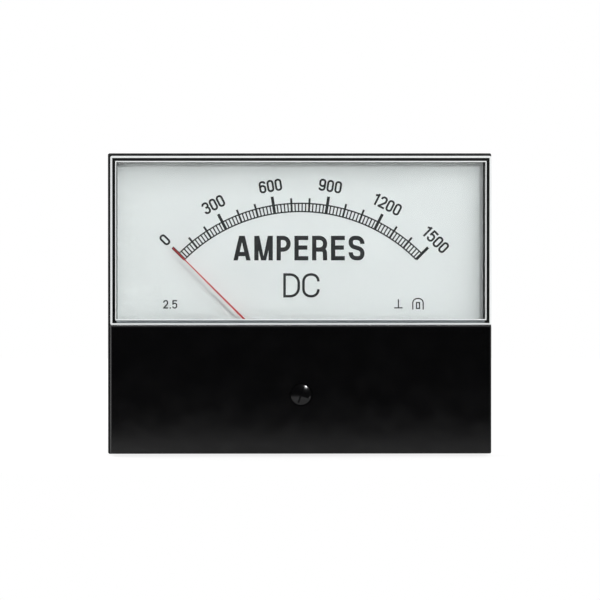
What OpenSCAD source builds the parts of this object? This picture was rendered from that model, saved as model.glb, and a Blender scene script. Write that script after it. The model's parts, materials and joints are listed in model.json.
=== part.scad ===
// Analog panel meter: a rectangular moving-coil ammeter with a clear window, a black skirt
// and a round barrel that goes through the panel. Millimetres. X runs to the viewer's right,
// Z up and Y back through the panel. The origin is on the barrel's axis, on the plane of the
// panel's front face, against which the base's rear face lies.

/* [Front] */
// Width of the front
face_w = 106.5; // [102:0.5:120]
// Height of the front
face_h = 83.2; // [80:0.5:95]
// Height of the black skirt, which is the rest of the front below the window
skirt_h = 35.9; // [33:0.1:37]
// How far the front stands out from the panel
front_depth = 19; // [17:0.5:24]
// Depth of the window and skirt, front to back
cover_depth = 5; // [4:0.1:5.4]
// Thickness of the window's pane and of the skirt's front
cover_t = 2; // [1.5:0.1:2.4]
// Thickness of the side walls of the window and skirt
cover_wall = 1.75; // [1.4:0.05:2.2]
// Thickness of the top walls of the window and the base
top_wall = 1.3; // [1:0.05:2]
// Thickness of the two walls that meet where window and skirt join
seam_wall = 1.4; // [1:0.1:2]
// Gap between the window and the skirt
seam_gap = 0.08; // [0.04:0.02:0.2]
// Rounding of the front's outer edges
edge_r = 0.5; // [0.2:0.05:0.9]

/* [Base] */
// Thickness of the base's side walls
base_wall = 1.7; // [1.4:0.05:2.2]
// Thickness of the base's floor, which lies on the panel
floor_t = 3; // [2.5:0.1:4]
// How far the floor's edge stands out past the front on every side
flange_lip = 0.7; // [0.3:0.05:1.5]
// Outer diameter of the barrel
barrel_d = 68; // [66:0.5:70]
// Thickness of the barrel's wall and end
barrel_wall = 2; // [1.5:0.1:2.4]
// Depth of the barrel behind the panel
barrel_len = 26; // [24:0.5:34]
// Chamfer round the barrel's end
barrel_chamfer = 1; // [0.5:0.1:1.5]
// How far the barrel's axis lies below the middle of the front
barrel_drop = 5.5; // [4:0.1:6.5]

/* [Mounting studs] */
// Spacing of the studs across the panel
stud_spacing_x = 64; // [62:0.5:70]
// Spacing of the studs up the panel
stud_spacing_z = 64; // [62:0.5:66]
// Diameter of the studs
stud_d = 3.5; // [3:0.1:3.8]
// Diameter of the pressed shank that holds a stud in the base's floor
stud_shank_d = 4.2; // [4.2:0.1:4.8]
// Free length of the studs behind the panel
stud_len = 14; // [10:0.5:20]
// Diameter of a stud's head
stud_head_d = 6.4; // [5.6:0.1:7]
// Thickness of a stud's head
stud_head_t = 1.5; // [1:0.1:2]

/* [Cover screws] */
// Diameter of the screws that hold the skirt from behind
cover_screw_d = 2.5; // [2:0.1:3]
// Diameter of their heads
cover_screw_head_d = 4.4; // [4:0.1:4.8]
// Thickness of their heads
cover_screw_head_t = 1.5; // [1.2:0.1:1.8]
// Diameter of the bosses that take them
cover_boss_d = 5.4; // [5:0.1:6]
// Distance of the screws from the sides of the front
cover_screw_inset = 5.2; // [5:0.1:7]
// Height of the lower screws above the bottom edge of the front
cover_screw_low = 5.2; // [5:0.1:8]
// How far the upper screws lie below the dial's lower edge
cover_screw_drop = 4.2; // [3.8:0.1:6]
// How far the screws reach into the skirt
cover_screw_grip = 2.2; // [1.6:0.1:2.6]

/* [Dial] */
// Thickness of the dial plate
dial_t = 0.8; // [0.5:0.1:1.2]
// Gap between the dial plate and the base's walls
dial_gap = 0.25; // [0.1:0.05:0.5]
// How far the dial's lower edge lies above the pivot
dial_edge_rise = 2.9; // [2.4:0.1:4]
// Radius of the notch in the dial round the pivot
dial_notch_r = 12.5; // [11:0.1:13]
// Distance between the two dial screws
dial_screw_spacing = 84; // [78:1:90]
// Height of the dial screws above the dial's lower edge
dial_screw_rise = 3.4; // [3:0.1:4.5]
// Diameter of the dial screws
dial_screw_d = 2; // [1.6:0.1:2.4]
// Depth of a dial screw in its boss
dial_screw_grip = 4; // [3:0.1:5]
// Diameter of the bosses under the dial
dial_boss_d = 6; // [5:0.1:7]
// Distance of the two upper dial rests from the dial's edges
dial_rest_inset = 5; // [4:0.1:8]
// Diameter of the stop pins
stop_pin_d = 1.2; // [0.8:0.1:1.6]
// Radius at which the stop pins stand
stop_r = 15; // [14.6:0.1:16]

/* [Scale] */
// Radius of the scale's inner line
scale_r = 45.9; // [42:0.1:47]
// Distance from the scale's inner line to its outer line
scale_band = 2.3; // [1.8:0.1:3]
// Thickness of the two lines
scale_line = 0.38; // [0.2:0.02:0.6]
// Width of the small ticks
minor_tick_w = 0.36; // [0.2:0.02:0.5]
// Width of the middle ticks
middle_tick_w = 0.56; // [0.3:0.02:0.7]
// How far the middle ticks reach past the outer line
middle_tick_reach = 1.5; // [1:0.1:2]
// Width of the numbered ticks
major_tick_w = 0.8; // [0.5:0.02:1]
// How far the numbered ticks reach past the outer line
major_tick_reach = 2.5; // [1.5:0.1:3]
// Number of divisions
divisions = 75; // [60:15:75]
// Divisions from one middle tick to the next
middle_every = 5; // [5]
// Divisions from one numbered tick to the next
major_every = 15; // [15]
// Thickness of the printed ink
ink_t = 0.03; // [0.02:0.01:0.05]

/* [Pointer] */
// Length of the pointer from the pivot to its tip
pointer_len = 50.6; // [46:0.1:54]
// Width of the pointer at its tip
pointer_tip_w = 0.26; // [0.2:0.02:0.4]
// Width of the pointer at its boss
pointer_root_w = 0.7; // [0.5:0.05:1]
// Thickness of the pointer
pointer_t = 0.3; // [0.2:0.02:0.4]
// Height of the pointer over the dial
pointer_rise = 1.85; // [1.6:0.05:2.5]
// Sweep of the pointer from zero to full scale, in degrees
sweep = 90; // [80:1:90]
// Overtravel from each end of the scale to its stop, in degrees
overtravel = 3; // [2:0.5:3]

/* [Moving coil] */
// Distance of the pivot below the barrel's axis
pivot_drop = 14.4; // [12:0.1:16]
// Clear width inside the coil former
former_inner_w = 15.9; // [15.6:0.1:16.2]
// Thickness of the former's sheet
former_t = 0.35; // [0.25:0.05:0.45]
// Width of the former along the swing
former_w = 4; // [3.4:0.1:4.2]
// Thickness of the former's side flanges
former_flange_t = 0.25; // [0.15:0.05:0.35]
// Thickness of the winding
winding_t = 1.2; // [0.9:0.05:1.3]
// Gap between the coil's ends and the core's faces
coil_end_gap = 0.6; // [0.4:0.05:1]
// Diameter of the staffs
staff_d = 1.2; // [1:0.05:1.4]
// Diameter of a staff's foot on the coil
staff_foot_d = 3.4; // [3:0.1:3.8]
// Thickness of a staff's foot
staff_foot_t = 0.4; // [0.3:0.05:0.5]
// Diameter of the pivots
pivot_d = 0.6; // [0.5:0.05:0.7]
// Length of the pivots
pivot_len = 1; // [0.9:0.05:1.2]
// Length of the balance tail
tail_len = 10.5; // [9:0.1:11]
// Length of the two side arms of the balance cross
side_arm_len = 7; // [6:0.1:8]
// Width of the arms
arm_w = 0.8; // [0.6:0.05:1]
// Thickness of the arms
arm_t = 0.4; // [0.3:0.05:0.5]
// Diameter of the weight on the tail
tail_weight_d = 2.1; // [1.6:0.02:2.4]
// Diameter of the weights on the side arms
side_weight_d = 1.6; // [1.2:0.1:2]
// Length of a weight along its arm
weight_len = 1.6; // [1.2:0.1:2]

/* [Hairsprings] */
// Radius of the outer turn
spring_r = 4.6; // [4.2:0.1:4.9]
// Number of turns
spring_turns = 4; // [3:1:5]
// Thickness of the strip
spring_strip_t = 0.14; // [0.1:0.01:0.18]
// Width of the strip
spring_strip_w = 0.45; // [0.35:0.05:0.55]
// Diameter of the collet
collet_d = 2.2; // [2:0.1:2.6]

/* [Magnet system] */
// Diameter of the core magnet
core_d = 15; // [14.6:0.1:15.2]
// Length of the core magnet
core_len = 14; // [12:0.5:16]
// Inner diameter of the yoke ring
yoke_inner_d = 20.2; // [20:0.1:20.6]
// Thickness of the yoke ring's wall
yoke_wall = 2.7; // [2:0.1:3.2]
// How much shorter than the core the yoke is at each end
yoke_setback = 1; // [0.5:0.1:1.5]
// Thickness of the yoke's ears
ear_t = 3; // [2:0.1:4]
// Width of the ears
ear_w = 7; // [6.4:0.1:8]
// Half angle of the spacers that hold the core, in degrees
spacer_half_angle = 23; // [18:1:24]

/* [Bridges] */
// Thickness of the bridges
bridge_t = 1.2; // [1:0.1:1.4]
// Width of the bridges
bridge_w = 5; // [4.4:0.1:5.4]
// Distance between the two bridge posts
post_spacing = 33; // [32.4:0.1:34]
// Diameter of the posts
post_d = 4; // [3.4:0.1:4.4]
// Diameter of the bridge screws
bridge_screw_d = 2; // [1.6:0.1:2.2]
// Depth of a bridge screw in its post
bridge_screw_grip = 4; // [3:0.1:6]
// Distance from a bridge post to the movement screw beside it
movement_screw_offset = 6; // [5.8:0.1:6.5]
// Diameter of the movement screws
movement_screw_d = 2.5; // [2:0.1:3]
// Depth of a movement screw in its pillar
movement_screw_grip = 6; // [4:0.5:8]
// Diameter of the pillars that carry the movement
pillar_d = 6; // [5:0.1:7]

/* [Jewel bearings] */
// Diameter of the jewel screws
jewel_screw_d = 2.6; // [2.4:0.1:2.8]
// Diameter of the jewels
jewel_d = 1.4; // [1.2:0.1:1.5]
// How far the rear jewel screw stands out behind its bridge
jewel_screw_tail = 2; // [1.6:0.1:3]
// Thickness of the jewels
jewel_t = 1.1; // [1:0.05:1.3]
// How far a jewel screw stands out of its bridge towards the coil
jewel_proud = 0.3; // [0.2:0.05:0.4]

/* [Zero adjuster] */
// Distance of the adjuster's axis below the pivot
adjuster_drop = 5.2; // [5:0.1:6]
// Diameter of the adjuster's head
adjuster_head_d = 5.7; // [5.2:0.1:6]
// Diameter of the hole in the skirt
adjuster_hole_d = 6.5; // [6.3:0.1:7]
// Thickness of the collar behind the skirt
adjuster_collar_t = 0.6; // [0.5:0.05:0.8]
// How far the head stands out of the skirt
adjuster_proud = 0.2; // [0:0.05:0.6]
// How far the adjuster's pin lies off its axis
eccentric = 1; // [0.8:0.05:1.2]
// Diameter of the eccentric pin
eccentric_pin_d = 1; // [0.8:0.05:1.2]
// Angle of the head's main slot, in degrees
slot_angle = 18; // [0:1:90]
// Width of the head's main slot
slot_w = 0.75; // [0.5:0.05:1]
// Depth of the head's slots
slot_depth = 0.5; // [0.3:0.05:0.8]
// Thickness of the zero lever
lever_t = 0.5; // [0.4:0.05:0.6]
// Width of the zero lever
lever_w = 3.2; // [2.8:0.1:3.6]

/* [Terminals] */
// Distance between the two terminals
terminal_spacing = 32; // [28:0.5:36]
// Height of the terminals above the barrel's axis
terminal_rise = 8; // [6:0.5:10]
// Diameter of the terminal studs
terminal_d = 5; // [5:0.1:6]
// Length of the terminal studs behind their bosses
terminal_len = 21; // [18:0.5:24]
// Diameter of the studs' lead-in ends, beyond the outer nuts
terminal_lead_d = 4.5; // [4:0.1:4.5]
// Width across the flats of the nuts and heads
nut_flats = 8; // [7.6:0.1:9]
// Thickness of a nut
nut_t = 4; // [3:0.1:4.4]
// Diameter of the washers
washer_d = 10; // [9:0.1:11]
// Thickness of the washers
washer_t = 1; // [0.8:0.1:1.2]
// Height of the bosses round the terminals
terminal_boss_h = 1.5; // [1:0.1:2.5]
// Thickness of the solder lugs
lug_t = 0.5; // [0.4:0.05:0.8]
// Length of the solder lugs' tongues from the stud's axis
lug_len = 9; // [8:0.1:10]

/* [Series resistor] */
// Diameter of the bobbin's flanges
bobbin_d = 8; // [7:0.1:9]
// Length of the bobbin
bobbin_len = 6; // [5:0.1:7]
// Thickness of the bobbin's flanges
bobbin_flange_t = 0.8; // [0.6:0.05:1.2]
// Diameter of the bobbin's core
bobbin_core_d = 3.4; // [3:0.1:4]
// Diameter of the resistance winding
resistor_winding_d = 6.6; // [6:0.1:6.8]
// Diameter of the insulated leads
lead_d = 1; // [0.8:0.1:1.2]

/* [Clearances] */
// Gap round a running shaft
running_gap = 0.05; // [0.03:0.01:0.08]
// Gap round a screw or stud in its hole
hole_gap = 0.1; // [0.06:0.02:0.15]
// Gap round a piece that is pressed or glued in
seat_gap = 0.03; // [0.02:0.01:0.05]
// Gap between the lever, the bridge and the springs
stack_gap = 0.12; // [0.1:0.02:0.2]

/* [Hidden] */
$fn = 48;
tiny = 0.01;
over = 1; // how far a cut runs past the face it opens

// Outline of the front
x_side = face_w / 2;
z_top = barrel_drop + face_h / 2;
z_bottom = barrel_drop - face_h / 2;
z_seam = z_bottom + skirt_h;
z_pivot = -pivot_drop;
barrel_r = barrel_d / 2;

// Places along the depth, from the front to the rear
y_front = -front_depth;
y_inside = y_front + cover_t;
y_joint = y_front + cover_depth;
y_collar = y_inside + running_gap;
y_collar_back = y_collar + adjuster_collar_t;
lever_room = 0.45;
y_lever = y_collar_back + lever_room;
y_lever_back = y_lever + lever_t;
y_front_bridge = y_lever_back + stack_gap;
y_front_bridge_back = y_front_bridge + bridge_t;
y_front_jewel = y_front_bridge_back + jewel_proud;
spring_room = 0.4;
y_front_spring = y_front_jewel + spring_room;
y_front_spring_back = y_front_spring + spring_strip_w;
y_pointer = y_front_spring_back + stack_gap;
y_pointer_back = y_pointer + pointer_t;
y_dial = y_pointer_back + pointer_rise;
y_dial_back = y_dial + dial_t;
y_coil = y_dial_back + 2 * stack_gap;
coil_end = winding_t + former_t + coil_end_gap;
y_core = y_coil + coil_end;
y_core_back = y_core + core_len;
y_coil_back = y_core_back + coil_end;
y_rear_spring = y_coil_back + staff_foot_t + spring_room;
y_rear_spring_back = y_rear_spring + spring_strip_w;
y_rear_jewel = y_rear_spring_back + spring_room;
y_rear_bridge = y_rear_jewel + jewel_proud;
y_rear_bridge_back = y_rear_bridge + bridge_t;
y_yoke = y_core + yoke_setback;
y_yoke_back = y_core_back - yoke_setback;
y_ear = y_yoke_back - ear_t;
y_end = barrel_len - barrel_wall;
y_boss = barrel_len + terminal_boss_h;
y_outer_washer = y_boss + washer_t + nut_t;
y_outer_nut = y_outer_washer + washer_t;

// Radii and half sizes
barrel_ri = barrel_r - barrel_wall;
core_r = core_d / 2;
yoke_ri = yoke_inner_d / 2;
yoke_r = yoke_ri + yoke_wall;
former_half = former_inner_w / 2 + former_t;
winding_half = former_half + winding_t;
winding_w = former_w - 2 * former_flange_t;
staff_r = staff_d / 2;
pivot_r = pivot_d / 2;
jewel_screw_r = jewel_screw_d / 2;
eccentric_r = adjuster_drop + eccentric; // radius of the pin from the pivot, at rest
zero_angle = -sweep / 2;                 // where the pointer rests, from upright

// Screw heads and slots, as shares of the screw's own diameter
head_ratio = 1.7;
head_height_ratio = 0.45;
screw_slot_w = 0.35;
screw_slot_depth = 0.4;

// Places across the panel
x_cover_screw = x_side - cover_screw_inset;
z_dial_edge = z_pivot + dial_edge_rise;
z_cover_screw_low = z_bottom + cover_screw_low;
z_cover_screw_high = z_dial_edge - cover_screw_drop;
x_dial = x_side - base_wall - dial_gap;
z_dial_top = z_top - top_wall - dial_gap;
x_dial_screw = dial_screw_spacing / 2;
z_dial_screw = z_dial_edge + dial_screw_rise;
x_dial_rest = x_dial - dial_rest_inset;
z_dial_rest = z_dial_top - dial_rest_inset;
x_post = post_spacing / 2;
x_movement_screw = x_post + movement_screw_offset;
ear_reach = x_movement_screw + ear_w / 2;
x_terminal = terminal_spacing / 2;
nut_r = nut_flats / 2 / cos(30);
stop_half_w = pointer_root_w / 2 + (pointer_tip_w - pointer_root_w) / 2 * stop_r / pointer_len;
stop_angle = sweep / 2 + overtravel + asin((stop_half_w + stop_pin_d / 2 + running_gap) / stop_r);

// Screws, lugs and bobbin
cover_bore_r = cover_screw_d / 2 + hole_gap;
y_cover_screw_end = y_joint - cover_screw_grip;
y_lug = y_end - lug_t;
y_stud_head = y_lug - nut_t / 2;
bobbin_place = [0, y_end - bobbin_len, terminal_rise];

// ---------- helpers ----------

// Extrudes a flat shape drawn in X and Z from y0 back to y1
module slab(y0, y1) {
    translate([0, y1, 0]) rotate([90, 0, 0]) linear_extrude(y1 - y0) children();
}

// A round bar along Y; r2 is its radius at the rear end when it tapers
module bar(r, y0, y1, r2 = undef) {
    translate([0, y1, 0]) rotate([90, 0, 0])
        cylinder(r1 = is_undef(r2) ? r : r2, r2 = r, h = y1 - y0);
}

// A hexagon bar along Y with a flat on top
module hex_bar(r, y0, y1) {
    translate([0, y1, 0]) rotate([90, 0, 0]) rotate([0, 0, 30]) cylinder(r = r, h = y1 - y0, $fn = 6);
}

// Turns a profile of [radius, y] points round the Y axis
module turned(points) {
    rotate([-90, 0, 0]) rotate_extrude() polygon([for (p = points) [p[0], p[1]]]);
}

// A flat rectangle from one corner to the other with round corners
module round_rect(low, high, r) {
    translate([low[0] + r, low[1]]) square([high[0] - low[0] - 2 * r, high[1] - low[1]]);
    translate([low[0], low[1] + r]) square([high[0] - low[0], high[1] - low[1] - 2 * r]);
    for (x = [low[0] + r, high[0] - r], z = [low[1] + r, high[1] - r]) translate([x, z]) circle(r);
}

// A block that is rounded on its four long corners and round its front face
module soft_block(low, high, r) {
    intersection() {
        slab(low[1], high[1]) round_rect([low[0], low[2]], [high[0], high[2]], r);
        translate([low[0] - over, 0, 0]) rotate([90, 0, 90]) linear_extrude(high[0] - low[0] + 2 * over)
            round_rect([low[1], low[2]], [high[1] + 2 * r, high[2]], r);
        translate([0, 0, low[2] - over]) linear_extrude(high[2] - low[2] + 2 * over)
            round_rect([low[0], low[1]], [high[0], high[1] + 2 * r], r);
    }
}

// A slotted pan-head screw that points backwards from y0, the face under its head
module front_screw(d, y0, length) {
    difference() {
        union() {
            bar(d * head_ratio / 2, y0 - d * head_height_ratio, y0);
            bar(d / 2, y0 - tiny, y0 + length);
        }
        translate([-d, y0 - d * head_height_ratio - over, -screw_slot_w / 2])
            cube([2 * d, over + screw_slot_depth, screw_slot_w]);
    }
}

// The same screw turned round, so that it points forwards from y0
module rear_screw(d, y0, length) {
    translate([0, y0, 0]) mirror([0, 1, 0]) front_screw(d, 0, length);
}

// Puts a child at both sides, at x and -x
module both_sides(x, z = 0) {
    for (side = [-1, 1]) translate([side * x, 0, z]) children();
}

module at_pivot() { translate([0, 0, z_pivot]) children(); }

// Puts the moving pieces, drawn with the pointer upright, at their place with no current
module at_zero() { at_pivot() rotate([0, zero_angle, 0]) children(); }

module at_cover_screws() {
    both_sides(x_cover_screw, z_cover_screw_low) children();
    both_sides(x_cover_screw, z_cover_screw_high) children();
}

module at_mounting_studs() {
    for (z = [-1, 1] * stud_spacing_z / 2) both_sides(stud_spacing_x / 2, z) children();
}

module at_terminals() { both_sides(x_terminal, terminal_rise) children(); }

// A wire through a list of points, with round elbows
module wire(points, r) {
    for (i = [0 : len(points) - 2]) hull() {
        translate(points[i]) sphere(r, $fn = 12);
        translate(points[i + 1]) sphere(r, $fn = 12);
    }
}

// ---------- front ----------

// Clear acrylic lens: a shallow tray whose four walls stand on the base and the skirt
module window_cover() {
    low = [-x_side, z_seam + seam_gap / 2];
    color("lightcyan", 0.35) difference() {
        soft_block([low[0], y_front, low[1]], [x_side, y_joint, z_top], edge_r);
        slab(y_inside, y_joint + over)
            round_rect(low + [cover_wall, seam_wall], [x_side, z_top] - [cover_wall, top_wall], edge_r);
    }
}

// Black moulded skirt: a tray like the window's, with the adjuster's hole and four screw bosses
module front_skirt() {
    high = [x_side, z_seam - seam_gap / 2];
    color("#151515") difference() {
        union() {
            difference() {
                soft_block([-x_side, y_front, z_bottom], [high[0], y_joint, high[1]], edge_r);
                slab(y_inside, y_joint + over)
                    round_rect([-x_side, z_bottom] + [cover_wall, cover_wall],
                               high - [cover_wall, seam_wall], edge_r);
            }
            at_cover_screws() bar(cover_boss_d / 2, y_inside - tiny, y_joint);
        }
        at_cover_screws() bar(cover_screw_d / 2 + seat_gap, y_cover_screw_end - hole_gap, y_joint + over);
        translate([0, 0, z_pivot - adjuster_drop]) bar(adjuster_hole_d / 2, y_front - over, y_inside + over);
    }
}

// Black moulded base: a shallow box with the barrel, the dial's bosses and the movement's pillars
module base() {
    color("#1b1b1b") difference() {
        union() {
            difference() {
                union() {
                    slab(y_joint, 0) round_rect([-x_side, z_bottom], [x_side, z_top], edge_r);
                    slab(-floor_t, 0)
                        round_rect([-x_side, z_bottom] - [flange_lip, flange_lip],
                                   [x_side, z_top] + [flange_lip, flange_lip], edge_r);
                }
                slab(y_joint - over, -floor_t)
                    round_rect([-x_side, z_bottom] + [base_wall, base_wall],
                               [x_side, z_top] - [base_wall, top_wall], edge_r);
                bar(barrel_ri + tiny, -floor_t - over, over);
            }
            barrel();
            at_cover_screws() bar(cover_boss_d / 2, y_joint, -floor_t + tiny);
            both_sides(x_dial_screw, z_dial_screw) bar(dial_boss_d / 2, y_dial_back, -floor_t + tiny);
            both_sides(x_dial_rest, z_dial_rest) bar(dial_boss_d / 2, y_dial_back, -floor_t + tiny);
            both_sides(x_movement_screw, z_pivot) bar(pillar_d / 2, y_yoke_back, y_end + tiny);
        }
        at_cover_screws() {
            bar(cover_bore_r, y_joint - over, over);
            bar(cover_screw_head_d / 2 + hole_gap, -cover_screw_head_t - hole_gap, over);
        }
        at_mounting_studs() {
            bar(stud_shank_d / 2 + seat_gap, -floor_t - over, over);
            bar(stud_head_d / 2 + seat_gap, -floor_t - over, -floor_t + stud_head_t);
        }
        both_sides(x_dial_screw, z_dial_screw)
            bar(dial_screw_d / 2 + seat_gap, y_dial_back - over, y_dial_back + dial_screw_grip + over);
        both_sides(x_movement_screw, z_pivot)
            bar(movement_screw_d / 2 + seat_gap, y_yoke_back - over, y_yoke_back + movement_screw_grip + over);
        at_terminals() bar(terminal_d / 2 + seat_gap, y_end - over, y_boss + over);
    }
}

// The barrel, with the terminals' raised bosses on its end
module barrel() {
    turned([
        [barrel_ri, -floor_t], [barrel_r, -floor_t], [barrel_r, barrel_len - barrel_chamfer],
        [barrel_r - barrel_chamfer, barrel_len], [0, barrel_len], [0, y_end], [barrel_ri, y_end],
    ]);
    at_terminals() bar(washer_d / 2 + 1, barrel_len - tiny, y_boss);
}

// Four screws from behind that hold the skirt to the base
module cover_screws() {
    color("silver") at_cover_screws() difference() {
        union() {
            bar(cover_screw_head_d / 2, -cover_screw_head_t, 0);
            bar(cover_screw_d / 2, y_cover_screw_end, -cover_screw_head_t + tiny);
        }
        for (turn = [0, 90]) rotate([0, turn, 0])
            translate([-cover_screw_d / 2, -screw_slot_depth * 2, -screw_slot_w])
                cube([cover_screw_d, over + screw_slot_depth * 2, screw_slot_w * 2]);
    }
}

// Four studs, headed and pressed in the base's floor, that clamp the meter to its panel
module mounting_studs() {
    color("gold") at_mounting_studs() {
        bar(stud_head_d / 2, -floor_t, -floor_t + stud_head_t - seat_gap);
        bar(stud_shank_d / 2, -floor_t + stud_head_t - 2 * seat_gap, 0);
        bar(stud_d / 2, -tiny, stud_len);
    }
}

// ---------- dial ----------

// Enamelled aluminium plate with a notch for the movement
module dial_plate() {
    color("white") slab(y_dial, y_dial_back) difference() {
        translate([-x_dial, z_dial_edge]) square([2 * x_dial, z_dial_top - z_dial_edge]);
        translate([0, z_pivot]) circle(dial_notch_r);
        for (x = [-1, 1] * x_dial_screw) translate([x, z_dial_screw]) circle(dial_screw_d / 2 + hole_gap);
        for (side = [-1, 1]) translate([0, z_pivot]) rotate(side * stop_angle) translate([0, stop_r])
            circle(stop_pin_d / 2 + seat_gap);
    }
}

module dial_screws() {
    color("silver") both_sides(x_dial_screw, z_dial_screw)
        front_screw(dial_screw_d, y_dial, dial_t + dial_screw_grip);
}

// A ring of ink from one end of the scale to the other, on a radius
module ink_line(r) {
    reach = 2 * r;
    intersection() {
        difference() {
            circle(r + scale_line / 2, $fn = 180);
            circle(r - scale_line / 2, $fn = 180);
        }
        polygon([[0, 0], [-reach * sin(sweep / 2), reach * cos(sweep / 2)], [-reach, 2 * reach],
                 [reach, 2 * reach], [reach * sin(sweep / 2), reach * cos(sweep / 2)]]);
    }
}

// Printed scale: two lines, and ticks of three sizes between and past them
module scale_print() {
    color("#1a1a1a") at_pivot() slab(y_dial - ink_t, y_dial) {
        ink_line(scale_r);
        ink_line(scale_r + scale_band);
        for (i = [0 : divisions]) {
            major = i % major_every == 0;
            middle = i % middle_every == 0;
            w = major ? major_tick_w : middle ? middle_tick_w : minor_tick_w;
            reach = major ? major_tick_reach : middle ? middle_tick_reach : 0;
            rotate(sweep / 2 - i * sweep / divisions)
                translate([-w / 2, scale_r]) square([w, scale_band + reach]);
        }
    }
}

// Two pins in the dial that stop the pointer just past each end of the scale
module stop_pins() {
    color("silver") for (side = [-1, 1]) at_pivot() rotate([0, side * stop_angle, 0]) translate([0, 0, stop_r])
        bar(stop_pin_d / 2, y_pointer - stack_gap, y_dial_back);
}

// ---------- magnet system ----------

module yoke_ring() {
    color("#7d8082") at_pivot() difference() {
        union() {
            bar(yoke_r, y_yoke, y_yoke_back);
            slab(y_ear, y_yoke_back)
                round_rect([-ear_reach, -ear_w / 2], [ear_reach, ear_w / 2], ear_w / 2 - tiny);
        }
        bar(yoke_ri, y_yoke - over, y_yoke_back + over);
        both_sides(x_post) bar(post_d / 2 + seat_gap, y_ear - over, y_yoke_back + over);
        both_sides(x_movement_screw) bar(movement_screw_d / 2 + hole_gap, y_ear - over, y_yoke_back + over);
    }
}

module core_magnet() {
    color("#55585a") at_pivot() bar(core_r, y_core, y_core_back);
}

// Two die-cast blocks above and below the core, clear of the coil's sweep
module core_spacers() {
    reach = yoke_r;
    color("#b9b4a4") at_pivot() for (turn = [0, 180]) rotate([0, turn, 0]) slab(y_yoke, y_yoke_back)
        intersection() {
            difference() {
                circle(yoke_ri - seat_gap);
                circle(core_r + seat_gap);
            }
            polygon([
                [0, 0], [reach * sin(spacer_half_angle), reach * cos(spacer_half_angle)],
                [0, reach / cos(spacer_half_angle)],
                [-reach * sin(spacer_half_angle), reach * cos(spacer_half_angle)],
            ]);
        }
}

// Two posts through the yoke's ears, tapped at both ends for the bridge screws
module bridge_posts() {
    color("#c9a24a") at_pivot() both_sides(x_post) difference() {
        bar(post_d / 2, y_front_bridge_back, y_rear_bridge);
        bar(bridge_screw_d / 2 + seat_gap, y_front_bridge_back - over,
            y_front_bridge_back + bridge_screw_grip + over);
        bar(bridge_screw_d / 2 + seat_gap, y_rear_bridge - bridge_screw_grip - over, y_rear_bridge + over);
    }
}

// A flat strap from post to post, drilled for the jewel screw and the two bridge screws
module bridge(y0, y1) {
    slab(y0, y1) difference() {
        round_rect([-x_post - bridge_w / 2, -bridge_w / 2], [x_post + bridge_w / 2, bridge_w / 2],
                   bridge_w / 2 - tiny);
        circle(jewel_screw_r + seat_gap);
        for (x = [-1, 1] * x_post) translate([x, 0]) circle(bridge_screw_d / 2 + hole_gap);
    }
}

module front_bridge() {
    color("#cdd0d2") at_pivot() bridge(y_front_bridge, y_front_bridge_back);
}

module rear_bridge() {
    color("#cdd0d2") at_pivot() bridge(y_rear_bridge, y_rear_bridge_back);
}

module bridge_screws() {
    length = bridge_t + bridge_screw_grip;
    color("silver") at_pivot() both_sides(x_post) {
        front_screw(bridge_screw_d, y_front_bridge, length);
        rear_screw(bridge_screw_d, y_rear_bridge_back, length);
    }
}

module movement_screws() {
    color("silver") at_pivot() both_sides(x_movement_screw)
        front_screw(movement_screw_d, y_ear, ear_t + movement_screw_grip);
}

// ---------- jewel bearings ----------

// Slotted screw whose inner end holds a jewel. It points backwards, with its jewel's face at 0
module jewel_screw(length) {
    difference() {
        bar(jewel_screw_r, -length, 0);
        bar(jewel_d / 2 + seat_gap, -jewel_t - seat_gap, over);
        translate([-jewel_screw_d, -length - over, -screw_slot_w / 2])
            cube([2 * jewel_screw_d, over + screw_slot_depth, screw_slot_w]);
    }
}

// Sapphire with a cup for the pivot, its face at 0
module jewel() {
    cup = pivot_len - spring_room / 2 + running_gap;
    difference() {
        bar(jewel_d / 2, -jewel_t, 0);
        bar(pivot_r + running_gap, -cup + pivot_r, over);
        bar(tiny, -cup, -cup + pivot_r + tiny, pivot_r + running_gap);
    }
}

front_screw_len = y_front_jewel - y_lever + screw_slot_depth / 2;
rear_screw_len = y_rear_bridge_back - y_rear_jewel + jewel_screw_tail;

module front_jewel_screw() {
    color("#c9a24a") at_pivot() translate([0, y_front_jewel, 0]) jewel_screw(front_screw_len);
}

module rear_jewel_screw() {
    color("#c9a24a") at_pivot() translate([0, y_rear_jewel, 0]) mirror([0, 1, 0]) jewel_screw(rear_screw_len);
}

module bearing_jewels() {
    color("#b01838") at_pivot() {
        translate([0, y_front_jewel, 0]) jewel();
        translate([0, y_rear_jewel, 0]) mirror([0, 1, 0]) jewel();
    }
}

module jewel_lock_nut() {
    color("#c9a24a") at_pivot() difference() {
        hex_bar(jewel_screw_d, y_rear_bridge_back, y_rear_bridge_back + bridge_t);
        bar(jewel_screw_r + seat_gap, y_rear_bridge_back - over, y_rear_bridge_back + bridge_t + over);
    }
}

// ---------- moving coil ----------

// A rectangle in X and Y round the core, as an extrusion along the swing
module coil_loop(half, end, width) {
    translate([-half, y_core - end, -width / 2])
        cube([2 * half, core_len + 2 * end, width]);
}

// Bent aluminium frame with a flange along each edge, which also damps the pointer
module coil_former() {
    end = coil_end_gap + former_t;
    color("#d5d8da") at_zero() difference() {
        coil_loop(winding_half - former_t, end + winding_t - former_t, former_w);
        coil_loop(former_inner_w / 2, coil_end_gap, former_w + 2 * over);
        difference() {
            coil_loop(winding_half + over, coil_end + over, winding_w + 2 * seat_gap);
            coil_loop(former_half, end, former_w);
        }
    }
}

module coil_winding() {
    color("#a4562c") at_zero() difference() {
        coil_loop(winding_half, coil_end, winding_w);
        coil_loop(former_half + seat_gap, coil_end_gap + former_t + seat_gap, former_w);
    }
}

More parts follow.
